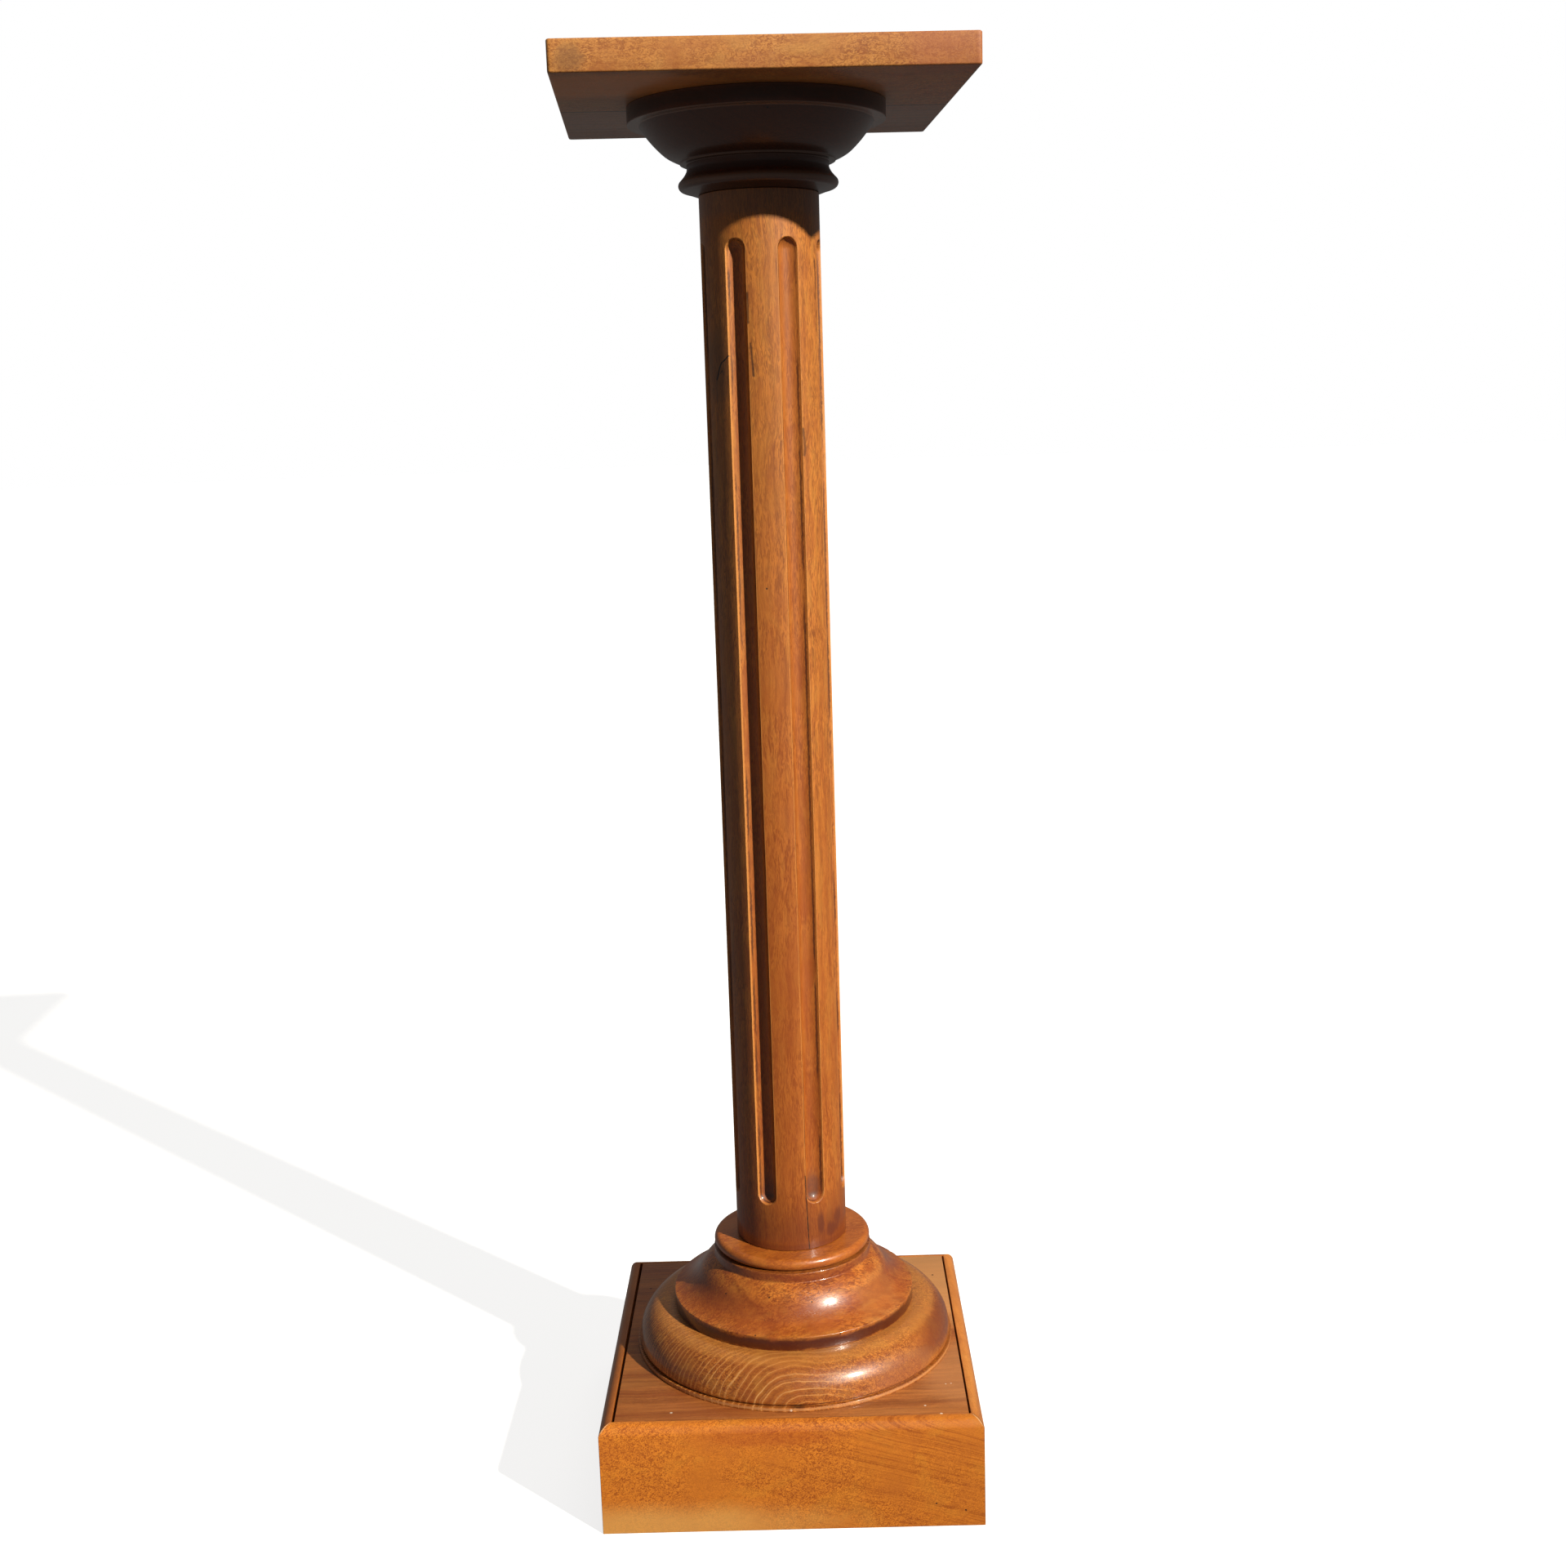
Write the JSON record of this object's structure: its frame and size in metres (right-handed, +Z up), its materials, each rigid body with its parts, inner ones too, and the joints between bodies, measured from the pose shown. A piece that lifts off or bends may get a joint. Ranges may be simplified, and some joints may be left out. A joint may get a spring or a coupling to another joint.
{
  "type": "fluted column pedestal",
  "caption": "Wooden column pedestal: square top board, turned capital, fluted shaft, turned base and box plinth, to hold a bust, vase or plant.",
  "frame": {"origin": "on the column's axis, at the level of the plinth's underside", "axes": "+Z up along the column, +X to the right seen from the front, the front faces -Y"},
  "size_m": [0.294, 0.294, 1.0349],
  "materials": {
    "top_board_wood": "satin varnish over flecked hardwood, worn at the edges",
    "turned_wood_dark": "satin varnish, dark red-brown stain",
    "shaft_wood": "satin varnish with fine upright grain",
    "turned_wood": "glossy varnish over fine mottled grain, small worm holes",
    "ringed_wood": "glossy varnish over strongly marked growth rings",
    "panel_wood": "satin varnish, browner than the boards",
    "plinth_wood": "satin varnish, orange-brown"
  },
  "bodies": {
    "root": {"top_board_front": "top_board_wood", "top_board_back": "top_board_wood", "capital": "turned_wood_dark", "shaft": "shaft_wood", "base_bell": "turned_wood", "base_torus": "ringed_wood", "plinth_panel": "panel_wood", "plinth_front": "plinth_wood", "plinth_right": "plinth_wood", "plinth_back": "plinth_wood", "plinth_left": "plinth_wood"}
  },
  "joints": []
}
